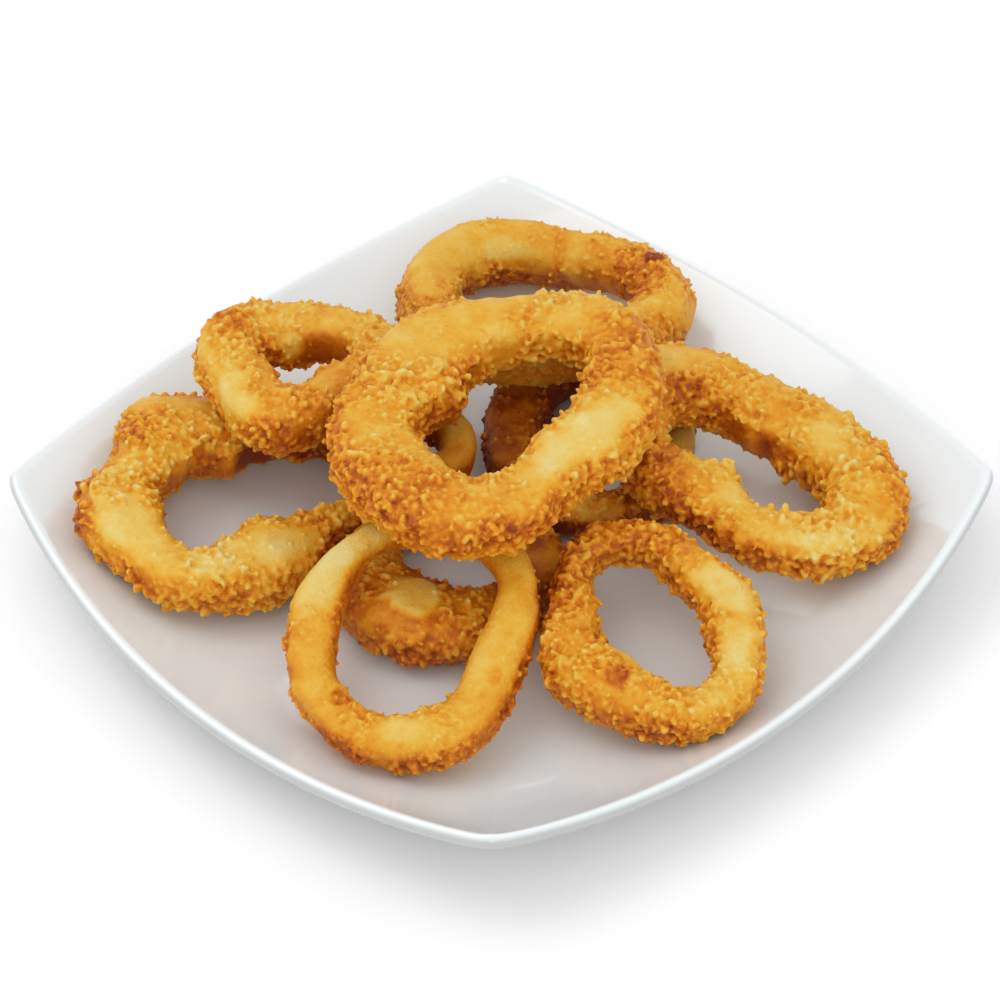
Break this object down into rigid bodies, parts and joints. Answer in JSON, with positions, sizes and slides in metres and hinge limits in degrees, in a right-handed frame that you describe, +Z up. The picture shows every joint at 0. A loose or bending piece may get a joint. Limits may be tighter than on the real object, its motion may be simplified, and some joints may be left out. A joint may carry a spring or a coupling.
{
  "type": "onion rings side",
  "caption": "Heap of crumbed, deep-fried onion rings on a square porcelain coupe plate with bowed sides and lifted corners.",
  "frame": {"origin": "middle of the plate's foot, on the surface that the plate stands on", "axes": "+Z up; the plate's four sides run along X and Y, so its corners lie on the diagonals, and the corner at +X -Y is the one nearest the viewer"},
  "size_m": [0.2288, 0.2288, 0.0585],
  "materials": {
    "glazed_porcelain": "white porcelain under a clear gloss glaze",
    "fried_crust": null
  },
  "bodies": {
    "root": {"plate": "glazed_porcelain", "ring_back": "fried_crust", "ring_centre": "fried_crust", "ring_front_left": "fried_crust", "ring_front_right": "fried_crust", "ring_left": "fried_crust", "ring_left_upper": "fried_crust", "ring_right": "fried_crust", "ring_under_front": "fried_crust", "ring_under_left": "fried_crust", "ring_under_right": "fried_crust"}
  },
  "joints": []
}
